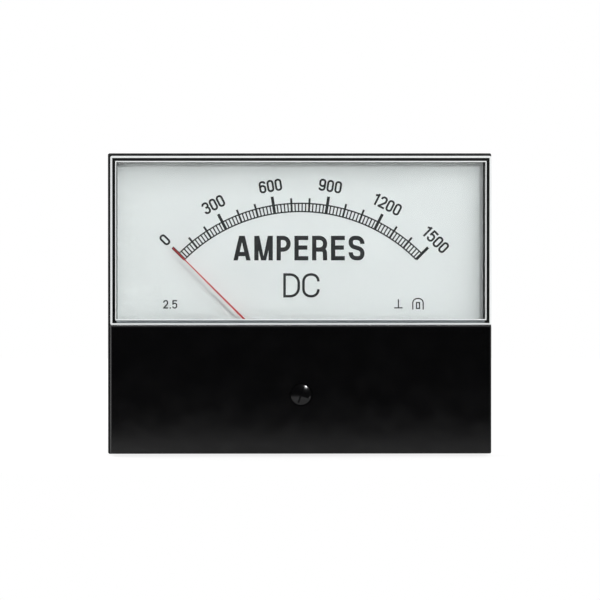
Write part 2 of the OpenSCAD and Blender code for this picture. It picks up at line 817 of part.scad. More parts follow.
// A staff on one end of the coil, drawn from its foot's rear face at 0 forwards
module staff(length) {
    bar(staff_foot_d / 2, -staff_foot_t, 0);
    bar(staff_r, -length, -staff_foot_t + tiny);
    bar(pivot_r, -length - pivot_len + pivot_r, -length + tiny);
    bar(tiny, -length - pivot_len, -length - pivot_len + pivot_r + tiny, pivot_r);
}

// The shoulder of each staff stops just short of its jewel screw
module pivot_staffs() {
    shoulder = spring_room / 2;
    color("#9fa3a6") at_zero() {
        translate([0, y_coil, 0]) staff(y_coil - y_front_jewel - shoulder);
        translate([0, y_coil_back, 0]) mirror([0, 1, 0]) staff(y_rear_jewel - y_coil_back - shoulder);
    }
}

// Flat tapered blade on a round boss
module pointer() {
    color("#c8322c") at_zero() difference() {
        union() {
            bar(staff_d, y_pointer, y_pointer_back);
            slab(y_pointer, y_pointer_back) polygon([
                [-pointer_root_w / 2, staff_r], [-pointer_tip_w / 2, pointer_len],
                [pointer_tip_w / 2, pointer_len], [pointer_root_w / 2, staff_r],
            ]);
        }
        bar(staff_r + seat_gap, y_pointer - over, y_pointer_back + over);
    }
}

y_cross = y_pointer_back + stack_gap;

// Tail and side arms behind the pointer
module balance_cross() {
    color("#9fa3a6") at_zero() slab(y_cross, y_cross + arm_t) difference() {
        union() {
            circle(staff_d);
            translate([-arm_w / 2, -tail_len]) square([arm_w, tail_len]);
            translate([-side_arm_len, -arm_w / 2]) square([2 * side_arm_len, arm_w]);
        }
        circle(staff_r + seat_gap);
    }
}

// A round weight with a slot through it, slid on the end of an arm that points down
module balance_weight(d, reach) {
    difference() {
        translate([0, y_cross + arm_t / 2, -reach]) cylinder(d = d, h = weight_len);
        translate([-arm_w / 2 - seat_gap, y_cross - seat_gap, -reach - over])
            cube([arm_w + 2 * seat_gap, arm_t + 2 * seat_gap, weight_len + 2 * over]);
    }
}

module balance_weights() {
    color("#c9a24a") at_zero() {
        balance_weight(tail_weight_d, tail_len - weight_len / 4);
        for (turn = [-90, 90]) rotate([0, turn, 0]) balance_weight(side_weight_d, side_arm_len - weight_len / 4);
    }
}

// ---------- hairsprings and zero lever ----------

function spiral_point(t, shift) =
    let (r = collet_d / 2 + shift + (spring_r - collet_d / 2) * t, a = 360 * spring_turns * t)
    [r * sin(a), r * cos(a)];

// A flat spiral from the collet out to its tag, which lies straight above the pivot
module hairspring(y0, y1) {
    steps = spring_turns * 30;
    half = spring_strip_t / 2;
    difference() {
        union() {
            slab(y0, y1) polygon(concat(
                [for (i = [0 : steps]) spiral_point(i / steps, half)],
                [for (i = [steps : -1 : 0]) spiral_point(i / steps, -half)]
            ));
            bar(collet_d / 2 + half, y0, y1);
        }
        bar(staff_r + seat_gap, y0 - over, y1 + over);
    }
}

module front_hairspring() {
    color("#c9a24a") at_pivot() hairspring(y_front_spring, y_front_spring_back);
}

module rear_hairspring() {
    color("#c9a24a") at_pivot() hairspring(y_rear_spring, y_rear_spring_back);
}

// A tab that stands off the bridge to hold a spring's outer end
module spring_tab(y0, y1) {
    inner = spring_r + spring_strip_t / 2 + seat_gap;
    translate([-lever_w / 4, y0, inner]) cube([lever_w / 2, y1 - y0, lever_t]);
}

// Insulated tag on the rear bridge for the rear spring and the lead to the resistor
module spring_tag() {
    inner = spring_r + spring_strip_t / 2 + seat_gap;
    color("#c9a24a") at_pivot() {
        spring_tab(y_rear_spring, y_rear_bridge_back + lever_t);
        difference() {
            slab(y_rear_bridge_back, y_rear_bridge_back + lever_t)
                translate([-lever_w / 2, jewel_screw_r + hole_gap]) square([lever_w, inner - jewel_screw_r]);
            hex_bar(jewel_screw_d + hole_gap, y_rear_bridge_back - over, y_rear_bridge_back + over);
        }
    }
}

// Lever on the front jewel screw: its fork takes the adjuster's pin and its tab the front spring
module zero_lever() {
    reach = eccentric_r + eccentric_pin_d;
    inner = spring_r + spring_strip_t / 2 + seat_gap;
    color("#cdd0d2") at_pivot() {
        slab(y_lever, y_lever_back) difference() {
            union() {
                circle(lever_w * 0.72);
                translate([-lever_w / 2, -reach]) square([lever_w, reach]);
                translate([-lever_w / 4, 0]) square([lever_w / 2, inner + lever_t]);
            }
            circle(jewel_screw_r + running_gap);
            translate([-eccentric_pin_d / 2 - hole_gap, -reach - over])
                square([eccentric_pin_d + 2 * hole_gap, over + reach - adjuster_drop + eccentric_pin_d / 2]);
        }
        spring_tab(y_lever_back - tiny, y_front_spring_back);
    }
}

// Black adjuster: slotted head in the skirt's hole, collar behind it and an eccentric pin
module zero_adjuster() {
    head_r = adjuster_head_d / 2;
    neck_y = y_front + cover_t / 2;
    head_y = y_front - adjuster_proud;
    dome_r = 3 * head_r;
    color("#1b1b1b") translate([0, 0, z_pivot - adjuster_drop]) difference() {
        union() {
            intersection() {
                bar(head_r, head_y - over, neck_y + tiny);
                translate([0, head_y + dome_r, 0]) sphere(dome_r, $fn = 96);
            }
            bar(adjuster_hole_d / 2 - running_gap, neck_y, y_collar + tiny);
            bar(adjuster_hole_d / 2 + slot_depth, y_collar, y_collar_back);
            translate([0, 0, -eccentric])
                bar(eccentric_pin_d / 2, y_collar_back - tiny, y_lever_back + stack_gap / 2);
        }
        rotate([0, slot_angle, 0]) translate([-head_r * 0.82, head_y - over, -slot_w / 2])
            cube([head_r * 1.64, over + slot_depth, slot_w]);
        rotate([0, slot_angle, 0]) translate([-slot_w / 4, head_y - over, -head_r * 0.82])
            cube([slot_w / 2, over + slot_depth, head_r * 1.64]);
    }
}

// ---------- terminals and wiring ----------

// Two brass studs, headed inside the barrel's end, with ends a little thinner than their thread
module terminal_studs() {
    color("#c9a24a") at_terminals() {
        hex_bar(nut_r, y_stud_head, y_lug);
        bar(terminal_d / 2, y_lug - tiny, y_outer_nut + nut_t);
        bar(terminal_lead_d / 2, y_outer_nut + nut_t - tiny, y_boss + terminal_len);
    }
}

// On each stud a nut that holds it in the case, and one that clamps the user's lead
module terminal_nuts() {
    color("#c9a24a") at_terminals() for (y = [y_boss + washer_t, y_outer_nut]) difference() {
        hex_bar(nut_r, y, y + nut_t);
        bar(terminal_d / 2 + seat_gap, y - over, y + nut_t + over);
    }
}

module terminal_washers() {
    color("silver") at_terminals() for (y = [y_boss, y_outer_washer]) slab(y, y + washer_t) difference() {
        circle(washer_d / 2);
        circle(terminal_d / 2 + hole_gap);
    }
}

// A ring under each stud's head with a tongue that hangs down for the lead
module solder_lugs() {
    color("silver") at_terminals() slab(y_lug, y_end) difference() {
        union() {
            circle(nut_flats / 2);
            translate([-nut_flats / 4, -lug_len]) square([nut_flats / 2, lug_len]);
        }
        circle(terminal_d / 2 + hole_gap);
    }
}

module resistor_bobbin() {
    color("#d8cfa8") translate(bobbin_place) {
        bar(bobbin_d / 2, 0, bobbin_flange_t);
        bar(bobbin_core_d / 2, bobbin_flange_t - tiny, bobbin_len - bobbin_flange_t + tiny);
        bar(bobbin_d / 2, bobbin_len - bobbin_flange_t, bobbin_len);
    }
}

module resistor_winding() {
    color("#7a4a2a") translate(bobbin_place) difference() {
        bar(resistor_winding_d / 2, bobbin_flange_t, bobbin_len - bobbin_flange_t);
        bar(bobbin_core_d / 2 + seat_gap, 0, bobbin_len);
    }
}

// The leads run from the lugs to the bobbin and the bridge, and from the bobbin to the spring tag
module lead_wires() {
    r = lead_d / 2;
    y_wire = y_lug - r - seat_gap;
    z_lug = terminal_rise - lug_len + r;
    z_bobbin = terminal_rise - bobbin_d / 2 - r - hole_gap;
    y_bobbin = bobbin_place[1] + bobbin_len / 2;
    y_bridge = y_rear_bridge_back + bridge_screw_d * head_height_ratio + r + hole_gap;
    color("#2b2b30") {
        wire([
            [x_terminal, y_wire, z_lug], [x_terminal - lug_len / 2, y_wire, z_lug - lug_len / 4],
            [bobbin_d / 4, y_bobbin, z_bobbin], [0, y_bobbin, z_bobbin],
        ], r);
        wire([
            [-x_terminal, y_wire, z_lug], [-x_terminal, y_wire - lug_len / 4, z_lug - lug_len / 3],
            [-x_post, y_bridge, z_pivot + bridge_w / 2], [-x_post, y_bridge, z_pivot],
        ], r);
    }
}

window_cover();
front_skirt();
base();
cover_screws();
mounting_studs();
dial_plate();
scale_print();
dial_screws();
stop_pins();
yoke_ring();
core_magnet();
core_spacers();
bridge_posts();
front_bridge();
rear_bridge();
bridge_screws();
movement_screws();
front_jewel_screw();
rear_jewel_screw();
bearing_jewels();
jewel_lock_nut();
coil_former();
coil_winding();
pivot_staffs();
pointer();
balance_cross();
balance_weights();
front_hairspring();
rear_hairspring();
spring_tag();
zero_lever();
zero_adjuster();
terminal_studs();
terminal_nuts();
terminal_washers();
solder_lugs();
resistor_bobbin();
resistor_winding();
lead_wires();
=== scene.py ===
# %% [markdown]
# # A moving-coil panel meter
# The real meter is a clear acrylic window and a black skirt on a black moulded base. Inside are
# a printed dial, a red pointer and the moving coil that turns it. The construction comes from a
# CAD model that is already at its real size and place. This lesson gives it its looks: the
# print on the dial, the threads, the moulded marks, and a material for every piece.
#
# Everything is in metres, with X to the viewer's right, Y back through the panel and Z up.

# %% Load the CAD model
import json
import math

import bpy
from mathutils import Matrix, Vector


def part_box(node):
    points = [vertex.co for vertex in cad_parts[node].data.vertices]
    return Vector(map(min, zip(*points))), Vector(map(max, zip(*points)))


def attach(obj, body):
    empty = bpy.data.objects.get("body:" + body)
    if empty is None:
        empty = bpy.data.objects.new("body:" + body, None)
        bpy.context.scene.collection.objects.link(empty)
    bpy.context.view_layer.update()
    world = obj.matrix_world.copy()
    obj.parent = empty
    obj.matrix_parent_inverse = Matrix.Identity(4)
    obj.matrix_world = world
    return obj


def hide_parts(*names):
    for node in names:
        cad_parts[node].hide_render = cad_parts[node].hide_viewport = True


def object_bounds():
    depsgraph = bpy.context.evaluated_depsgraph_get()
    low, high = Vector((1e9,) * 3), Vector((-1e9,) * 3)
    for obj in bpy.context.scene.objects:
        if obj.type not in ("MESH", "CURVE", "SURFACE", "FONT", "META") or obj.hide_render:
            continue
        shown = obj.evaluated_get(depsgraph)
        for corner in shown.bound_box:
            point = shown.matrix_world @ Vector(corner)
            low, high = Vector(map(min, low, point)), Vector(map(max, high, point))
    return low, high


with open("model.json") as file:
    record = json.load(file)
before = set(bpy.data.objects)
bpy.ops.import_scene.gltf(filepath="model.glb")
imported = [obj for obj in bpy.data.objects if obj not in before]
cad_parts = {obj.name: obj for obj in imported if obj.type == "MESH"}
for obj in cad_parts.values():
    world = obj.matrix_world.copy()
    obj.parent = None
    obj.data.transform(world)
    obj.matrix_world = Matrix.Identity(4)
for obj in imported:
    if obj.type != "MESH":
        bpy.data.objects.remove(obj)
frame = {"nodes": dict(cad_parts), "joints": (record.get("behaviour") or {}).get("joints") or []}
cad_low, cad_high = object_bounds()
nodes = frame["nodes"]
for plain in list(bpy.data.materials):               # the CAD's placeholder colours
    bpy.data.materials.remove(plain)
MM = 0.001
print("CAD nodes:", len(nodes), "box from", tuple(cad_low), "to", tuple(cad_high))

# %% [markdown]
# ## Places to work from
# A dressed model stays right when the CAD changes only if nothing is placed by eye. So the
# places are read from the CAD nodes' boxes: the dial's printed side, the axis that the pointer
# turns on, the terminals' axes and the panel's plane.

# %% Read the places
joints = {joint["name"]: joint for joint in frame["joints"]}
pivot = Vector(joints["movement_swing"]["pos_m"])
dial_low, dial_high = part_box("dial_plate")
ink_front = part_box("scale_print")[0].y
window_low, window_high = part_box("window_cover")
stud_low, stud_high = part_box("mounting_studs")
terminal_low, terminal_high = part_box("terminal_studs")
panel_y = 0.0                                        # the panel's front face
print("pivot", tuple(pivot), "dial front", dial_low.y, "ink front", ink_front)

# %% [markdown]
# ## Colours and nodes
# Colours are written as sRGB hex values, the way paint charts give them, and Blender works in
# linear light, so one function turns the first into the second. One more function adds a node
# to a material, sets it and links it, which keeps each material short enough to read.

# %% Colour and node helpers
def linear(code):
    """The linear colour, with alpha, of an sRGB hex value such as #A0B0C0."""
    parts = [int(code[i:i + 2], 16) / 255 for i in (1, 3, 5)]
    return [p / 12.92 if p <= 0.04045 else ((p + 0.055) / 1.055) ** 2.4 for p in parts] + [1.0]


def add_node(tree, kind, inputs=None, **settings):
    """Adds a node. Inputs are values, or sockets of other nodes, which are linked."""
    node = tree.nodes.new(kind)
    for name, value in settings.items():
        setattr(node, name, value)
    for name, value in (inputs or {}).items():
        if isinstance(value, bpy.types.NodeSocket):
            tree.links.new(value, node.inputs[name])
        else:
            node.inputs[name].default_value = value
    return node


def start_material(name, colour, roughness, metallic=0.0, ior=None):
    """A new material with a Principled shader, whose constants sit on the shader itself."""
    made = bpy.data.materials.new(name)
    made.use_nodes = True
    tree = made.node_tree
    tree.nodes.clear()
    shader = add_node(tree, "ShaderNodeBsdfPrincipled", {
        "Base Color": linear(colour), "Roughness": roughness, "Metallic": metallic})
    if ior:
        shader.inputs["IOR"].default_value = ior
    add_node(tree, "ShaderNodeOutputMaterial", {"Surface": shader.outputs["BSDF"]})
    return made, tree, shader


print("white is", linear("#FFFFFF"), "and mid grey is", linear("#808080"))

# %% [markdown]
# ## Three kinds of surface detail
# Under a lamp, no real surface is even. Three things show: a fine relief that breaks up the
# highlights, a slow change in gloss, and a slow change in colour. Each helper takes the size of
# the detail in millimetres, because a pattern looks right only at its real scale. They read
# Object coordinates, so the pattern stays with the piece when it moves.

# %% Detail helpers
def pattern(tree, size, stretch=(1, 1, 1), detail=2.0):
    """Soft noise whose spots are about size millimetres apart, drawn out by stretch."""
    place = add_node(tree, "ShaderNodeTexCoord")
    scaled = add_node(tree, "ShaderNodeMapping", {
        "Vector": place.outputs["Object"], "Scale": [1 / s for s in stretch]})
    return add_node(tree, "ShaderNodeTexNoise", {
        "Vector": scaled.outputs["Vector"], "Scale": 1 / (size * MM), "Detail": detail})


def add_relief(tree, shader, height, size, stretch=(1, 1, 1)):
    """Relief of a height and spacing in millimetres."""
    bump = add_node(tree, "ShaderNodeBump", {
        "Height": pattern(tree, size, stretch).outputs["Fac"], "Distance": height * MM, "Strength": 1.0})
    tree.links.new(bump.outputs["Normal"], shader.inputs["Normal"])


def add_gloss_change(tree, shader, low, high, size, stretch=(1, 1, 1)):
    """Roughness that drifts between two values."""
    fit = add_node(tree, "ShaderNodeMapRange", {
        "Value": pattern(tree, size, stretch).outputs["Fac"], "From Min": 0.3, "From Max": 0.7,
        "To Min": low, "To Max": high})
    tree.links.new(fit.outputs["Result"], shader.inputs["Roughness"])


def add_colour_change(tree, shader, first, second, size, stretch=(1, 1, 1)):
    """Colour that drifts between two hex values."""
    mix = add_node(tree, "ShaderNodeMix", {
        0: pattern(tree, size, stretch).outputs["Fac"], 6: linear(first), 7: linear(second)},
        data_type="RGBA")
    tree.links.new(mix.outputs[2], shader.inputs["Base Color"])


# %% [markdown]
# ## Clear acrylic
# The window is moulded acrylic (PMMA): almost colourless, with an index of refraction of 1.49.
# Its polished mould leaves a glassy surface, and its rounded edges bend the light into the
# bright lines that frame the dial. Real glass shaders block lamp light, which would leave the
# dial dark, so shadow rays see a plain transparent sheet instead. The joint face, where solvent
# cement holds the walls to the base, is frosted. The rounded front edge and a fine line on the
# pane's front over the walls' inner side carry painted highlights: they are made white and dull,
# so that they scatter light and draw the white lines round the dial that the real edges make by
# bending light. The mask for them is built from Object coordinates: how far a point is inside
# the window's outline, and how far back.

# %% Clear acrylic
acrylic, tree, shader = start_material("clear_acrylic", "#FAFDFD", 0.015, ior=1.49)
output = tree.nodes["Material Output"]
EDGE_W, WALL_W, PAINTED_LINE_W = 0.55 * MM, 1.39 * MM, 0.3 * MM
PANE_SKIN, CEMENT_SKIN = 0.5 * MM, 0.02 * MM
window_mid, window_half = (window_low + window_high) / 2, (window_high - window_low) / 2
place = add_node(tree, "ShaderNodeTexCoord")
centred = add_node(tree, "ShaderNodeVectorMath", {
    0: place.outputs["Object"], 1: window_mid}, operation="SUBTRACT")
sized = add_node(tree, "ShaderNodeVectorMath", {0: centred.outputs["Vector"]}, operation="ABSOLUTE")
inward = add_node(tree, "ShaderNodeVectorMath", {
    0: window_half, 1: sized.outputs["Vector"]}, operation="SUBTRACT")
split = add_node(tree, "ShaderNodeSeparateXYZ", {"Vector": inward.outputs["Vector"]})
depth = add_node(tree, "ShaderNodeSeparateXYZ", {"Vector": place.outputs["Object"]})
inside = add_node(tree, "ShaderNodeMath", {0: split.outputs["X"], 1: split.outputs["Z"]},
                  operation="MINIMUM")
# Painted highlight: the front 0.55 mm of the rounded outer edge is made white and dull, in place of the
# light that the real edge bends
rim_highlight = add_node(tree, "ShaderNodeMath", {0: inside.outputs[0], 1: EDGE_W}, operation="LESS_THAN")
near = add_node(tree, "ShaderNodeMath", {0: depth.outputs["Y"], 1: window_low.y + EDGE_W},
                operation="LESS_THAN")
rim_highlight = add_node(tree, "ShaderNodeMath", {0: rim_highlight.outputs[0], 1: near.outputs[0]}, operation="MULTIPLY")
# Painted highlight: a fine white line on the pane's front surface, over the walls' inner side, in place
# of the light that the real inner corner bends
corner = add_node(tree, "ShaderNodeMath", {
    0: inside.outputs[0], 1: WALL_W + PAINTED_LINE_W / 2, 2: PAINTED_LINE_W / 2}, operation="COMPARE")
near = add_node(tree, "ShaderNodeMath", {0: depth.outputs["Y"], 1: window_low.y + PANE_SKIN},
                operation="LESS_THAN")
corner = add_node(tree, "ShaderNodeMath", {0: corner.outputs[0], 1: near.outputs[0]},
                  operation="MULTIPLY")
# The two painted highlight lines together
painted_highlight = add_node(tree, "ShaderNodeMath", {0: rim_highlight.outputs[0], 1: corner.outputs[0]},
                      operation="MAXIMUM")
joint = add_node(tree, "ShaderNodeMath", {0: depth.outputs["Y"], 1: window_high.y - CEMENT_SKIN},
                 operation="GREATER_THAN")
# The frosted joint face, plus the painted highlight lines, are made dull and opaque
frost_and_painted_highlight = add_node(tree, "ShaderNodeMath", {0: painted_highlight.outputs[0], 1: joint.outputs[0]},
                 operation="MAXIMUM")
glassy = add_node(tree, "ShaderNodeMath", {0: 1.0, 1: frost_and_painted_highlight.outputs[0]}, operation="SUBTRACT")
tone = add_node(tree, "ShaderNodeMix", {
    0: joint.outputs[0], 6: linear("#FAFDFD"), 7: linear("#7E8284")}, data_type="RGBA")
dull = add_node(tree, "ShaderNodeMapRange", {"Value": frost_and_painted_highlight.outputs[0], "To Min": 0.015, "To Max": 0.5})
tree.links.new(tone.outputs[2], shader.inputs["Base Color"])
tree.links.new(glassy.outputs[0], shader.inputs["Transmission Weight"])
tree.links.new(dull.outputs["Result"], shader.inputs["Roughness"])
path = add_node(tree, "ShaderNodeLightPath")
open_to_light = add_node(tree, "ShaderNodeBsdfTransparent", {"Color": linear("#F4F7F7")})
mix = add_node(tree, "ShaderNodeMixShader", {
    0: path.outputs["Is Shadow Ray"], 1: shader.outputs["BSDF"], 2: open_to_light.outputs["BSDF"]})
tree.links.new(mix.outputs["Shader"], output.inputs["Surface"])

# %% [markdown]
# ## Black plastics
# The skirt and the adjuster are black acrylic from a polished mould, deep black with a soft
# gloss. The base is black phenolic, a pressed resin full of wood flour: it is a little browner
# and duller, and shows the flow of the powder as faint clouds.

# %% Black acrylic and black phenolic
black_acrylic, tree, shader = start_material("black_moulded_acrylic", "#050506", 0.17, ior=1.49)
add_gloss_change(tree, shader, 0.14, 0.2, 6)
add_relief(tree, shader, 0.0012, 0.5)

phenolic, tree, shader = start_material("black_pressed_phenolic", "#101010", 0.45, ior=1.6)
add_colour_change(tree, shader, "#0C0C0C", "#171615", 9)
add_gloss_change(tree, shader, 0.38, 0.52, 4)
add_relief(tree, shader, 0.006, 0.25)

# %% [markdown]
# ## The dial's enamel and ink
# The dial is aluminium sheet with a stoved white enamel. Sprayed enamel dries with a fine
# orange peel, here 0.7 mm apart. The ink is screen printed: it is matt, and its surface keeps
# the weave of the screen. The pointer has a thin red lacquer.

# %% Enamel, ink and lacquer
enamel, tree, shader = start_material("stoved_white_enamel", "#EFEFEE", 0.42, ior=1.5)
add_colour_change(tree, shader, "#EDEDEC", "#F1F1F0", 12)
add_relief(tree, shader, 0.003, 0.7)

ink, tree, shader = start_material("screen_printed_ink", "#1B1B1C", 0.6, ior=1.5)
add_gloss_change(tree, shader, 0.5, 0.7, 0.8)
add_relief(tree, shader, 0.002, 0.12)

red_lacquer, tree, shader = start_material("red_lacquer_on_aluminium", "#C4242C", 0.35, ior=1.5)
add_colour_change(tree, shader, "#BC2029", "#CE2D34", 3)

# %% [markdown]
# ## Metals
# Most metal parts here are turned, rolled or plated. Turning leaves rings round the axis, which
# lie one behind the other along Y, so their pattern is noise that is short along Y and long
# across it. Rolled sheet shows lines along X. Plating is even, with small spots of other gloss.

# %% Metals
def turned_metal(name, colour, second, roughness):
    """Metal from a lathe whose axis lies along Y, with cutting marks 0.12 mm apart."""
    made, tree, shader = start_material(name, colour, roughness, 1.0)
    add_colour_change(tree, shader, colour, second, 1.5)
    add_gloss_change(tree, shader, roughness - 0.06, roughness + 0.1, 0.8)
    add_relief(tree, shader, 0.004, 0.12, (12, 1, 12))
    return made


def rolled_metal(name, colour, second, roughness):
    """Sheet metal with rolling lines along X, 0.08 mm apart."""
    made, tree, shader = start_material(name, colour, roughness, 1.0)
    add_colour_change(tree, shader, colour, second, 2.5)
    add_gloss_change(tree, shader, roughness - 0.05, roughness + 0.1, 0.5, (10, 1, 1))
    add_relief(tree, shader, 0.002, 0.08, (25, 1, 1))
    return made


def plated_metal(name, colour, second, roughness):
    """Plated metal with faint spots."""
    made, tree, shader = start_material(name, colour, roughness, 1.0)
    add_colour_change(tree, shader, colour, second, 1.2)
    add_gloss_change(tree, shader, roughness - 0.08, roughness + 0.08, 0.6)
    add_relief(tree, shader, 0.002, 0.2)
    return made


brass = turned_metal("turned_brass", "#C9A765", "#BD9A58", 0.3)
nickel = turned_metal("nickel_plated_brass", "#D3CDBE", "#C6BFAE", 0.26)
staff_steel = turned_metal("hardened_steel", "#A9ACB0", "#9B9EA3", 0.18)
zinc = plated_metal("zinc_plated_steel", "#C4C7CA", "#B5B9BD", 0.34)
tin = plated_metal("tinned_brass", "#CFCCC4", "#C0BCB2", 0.38)
aluminium = rolled_metal("rolled_aluminium", "#D2D4D6", "#C5C8CB", 0.36)
bronze = rolled_metal("phosphor_bronze_strip", "#CB9A6A", "#B98957", 0.3)
print("metals:", [m.name for m in (brass, nickel, staff_steel, zinc, tin, aluminium, bronze)])

# %% [markdown]
# ## Magnet iron, castings, windings and the rest
# The yoke is soft iron, the core a ground cast magnet and the spacers a zinc casting. A winding
# is many turns of round enamelled wire laid side by side, which a wave texture draws as fine
# ridges, one for each turn. The wires are really 0.05 mm; here they are 0.2 mm, to show.

# %% Iron, castings and small parts
def cast_metal(name, colour, second, roughness, grain):
    """A casting with a grain of a size in millimetres."""
    made, tree, shader = start_material(name, colour, roughness, 1.0)
    add_colour_change(tree, shader, colour, second, 3)
    add_gloss_change(tree, shader, roughness - 0.08, roughness + 0.1, 1)
    add_relief(tree, shader, 0.02, grain)
    return made


def wound_wire(name, colour, second, direction):
    """Enamelled wire in turns 0.2 mm apart, side by side along direction."""
    made, tree, shader = start_material(name, colour, 0.25, 1.0)
    shader.inputs["Coat Weight"].default_value = 0.6
    add_colour_change(tree, shader, colour, second, 1)
    place = add_node(tree, "ShaderNodeTexCoord")
    turns = add_node(tree, "ShaderNodeTexWave", {
        "Vector": place.outputs["Object"], "Scale": math.pi / 10 / (0.2 * MM), "Distortion": 0.3},
        bands_direction=direction)
    bump = add_node(tree, "ShaderNodeBump", {
        "Height": turns.outputs["Fac"], "Distance": 0.08 * MM, "Strength": 1.0})
    tree.links.new(bump.outputs["Normal"], shader.inputs["Normal"])
    return made


iron = cast_metal("annealed_soft_iron", "#8B8D8F", "#7D8083", 0.42, 0.3)
magnet = cast_metal("ground_cast_magnet", "#6C6E71", "#5F6165", 0.38, 0.2)
casting = cast_metal("zinc_die_casting", "#A9A69C", "#999589", 0.5, 0.5)
copper_wire = wound_wire("enamelled_copper_wire", "#B4673A", "#9E5630", "Z")
resistance_wire = wound_wire("enamelled_resistance_wire", "#8A5A34", "#774C2A", "Y")

nylon, tree, shader = start_material("natural_nylon", "#DCD4BC", 0.45, ior=1.53)
shader.inputs["Subsurface Weight"].default_value = 0.3
shader.inputs["Subsurface Radius"].default_value = [1.2 * MM, 1.0 * MM, 0.6 * MM]
shader.inputs["Subsurface Scale"].default_value = 1.0
add_colour_change(tree, shader, "#DCD4BC", "#D2C9AE", 2)
add_relief(tree, shader, 0.004, 0.3)

ruby, tree, shader = start_material("synthetic_ruby", "#C2183E", 0.08, ior=1.77)
add_colour_change(tree, shader, "#C2183E", "#A81235", 0.5)
shader.inputs["Coat Weight"].default_value = 0.5

insulation, tree, shader = start_material("pvc_lead_insulation", "#26262A", 0.4, ior=1.53)
add_colour_change(tree, shader, "#222226", "#2C2C31", 2)
add_relief(tree, shader, 0.006, 0.4)

# %% [markdown]
# ## A finish for every piece
# Each CAD node gets its material in its slot. The record names the same slots, so the finish
# and the record agree.

# %% Dress the CAD nodes
FINISHES = {
    acrylic: ["window_cover"],
    black_acrylic: ["front_skirt", "zero_adjuster"],
    phenolic: ["base"],
    enamel: ["dial_plate"],
    ink: ["scale_print"],
    red_lacquer: ["pointer"],
    zinc: ["cover_screws", "dial_screws", "bridge_screws", "movement_screws", "terminal_washers",
           "stop_pins"],
    brass: ["mounting_studs", "bridge_posts", "front_jewel_screw", "rear_jewel_screw",
            "jewel_lock_nut", "balance_weights"],
    nickel: ["terminal_studs", "terminal_nuts"],
    tin: ["solder_lugs", "spring_tag"],
    staff_steel: ["pivot_staffs"],
    aluminium: ["front_bridge", "rear_bridge", "zero_lever", "coil_former", "balance_cross"],
    bronze: ["front_hairspring", "rear_hairspring"],
    iron: ["yoke_ring"],
    magnet: ["core_magnet"],
    casting: ["core_spacers"],
    copper_wire: ["coil_winding"],
    resistance_wire: ["resistor_winding"],
    nylon: ["resistor_bobbin"],
    ruby: ["bearing_jewels"],
    insulation: ["lead_wires"],
}
for finish, names in FINISHES.items():
    for name in names:
        nodes[name].data.materials.clear()
        nodes[name].data.materials.append(finish)
bare = set(nodes) - {name for names in FINISHES.values() for name in names}
print("nodes with no finish:", sorted(bare))

# %% [markdown]
# ## Helpers for modelling by hand
# Blender's operators act on whatever is selected, so each step first deselects everything.
# A finished piece sits at the origin with its place in its mesh, so its transform is applied.

# %% Modelling helpers
def deselect():
    if bpy.context.object and bpy.context.object.mode != "OBJECT":
        bpy.ops.object.mode_set(mode="OBJECT")
    bpy.ops.object.select_all(action="DESELECT")


def pick(piece):
    """Makes one piece the only selected and active object."""
    deselect()
    piece.select_set(True)
    bpy.context.view_layer.objects.active = piece


def apply_place(piece):
    """Moves the piece's place, turn and size into its mesh."""
    pick(piece)
    bpy.ops.object.transform_apply(location=True, rotation=True, scale=True)


def apply_modifier(piece, kind, **settings):
    """Adds a modifier, sets it and applies it."""
    pick(piece)
    modifier = piece.modifiers.new(kind.title(), kind)
    for name, value in settings.items():
        setattr(modifier, name, value)
    bpy.ops.object.modifier_apply(modifier=modifier.name)


def cut_or_add(piece, tool, operation):
    """A boolean with another solid, which is then deleted."""
    apply_modifier(piece, "BOOLEAN", object=tool, operation=operation, solver="EXACT")
    bpy.data.objects.remove(tool)


def copy_of(piece, name):
    """A copy with its own mesh."""
    made = piece.copy()
    made.data = piece.data.copy()
    made.name = name
    bpy.context.scene.collection.objects.link(made)
    return made


def join(pieces, name):
    """One object from several."""
    pieces[0].name = name
    if len(pieces) == 1:
        return pieces[0]
    deselect()
    for piece in pieces:
        piece.select_set(True)
    bpy.context.view_layer.objects.active = pieces[0]
    bpy.ops.object.join()
    return pieces[0]


def dress(piece, finish, body):
    """Gives a finished piece its material and the body that it moves with."""
    piece.data.materials.clear()
    piece.data.materials.append(finish)
    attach(piece, body)
    print(piece.name, "has", len(piece.data.vertices), "vertices")


# %% [markdown]
# ## Letters drawn with strokes
# A dial maker's lettering is condensed and bold, with strokes of one width and round corners.
# Blender's own font is lighter and wider, and it breaks up when it is thickened. So each letter
# is drawn the way a stencil is: by centre lines with rounded corners, to which a width is
# given. A centre line is a list of corners, each with its own radius, on a letter of height 1.

# %% Turn a centre line into an outline
ARC_STEPS = 8
ROUNDNESS = 0.58                    # 0.55 draws a circle, and more a squarer bend


def rounded_line(corners, closed):
    """The points of a centre line, with an arc of the given radius at each corner."""
    points = []
    count = len(corners)
    for i, (x, y, radius) in enumerate(corners):
        here = Vector((x, y))
        at_end = not closed and i in (0, count - 1)
        if radius == 0 or at_end:
            points.append(here)
            continue
        back = Vector(corners[i - 1][:2]) - here
        ahead = Vector(corners[(i + 1) % count][:2]) - here
        room = min(line.length * (1.0 if corners[n % count][2] == 0 else 0.5)
                   for line, n in ((back, i - 1), (ahead, i + 1)))
        half = back.angle(ahead) / 2
        reach = min(radius / math.tan(half), 0.98 * room)
        first = here + back.normalized() * reach
        last = here + ahead.normalized() * reach
        pull_in, pull_out = first.lerp(here, ROUNDNESS), last.lerp(here, ROUNDNESS)
        for step in range(ARC_STEPS + 1):
            t = step / ARC_STEPS
            points.append(first * (1 - t) ** 3 + pull_in * 3 * t * (1 - t) ** 2
                          + pull_out * 3 * t * t * (1 - t) + last * t ** 3)
    return points


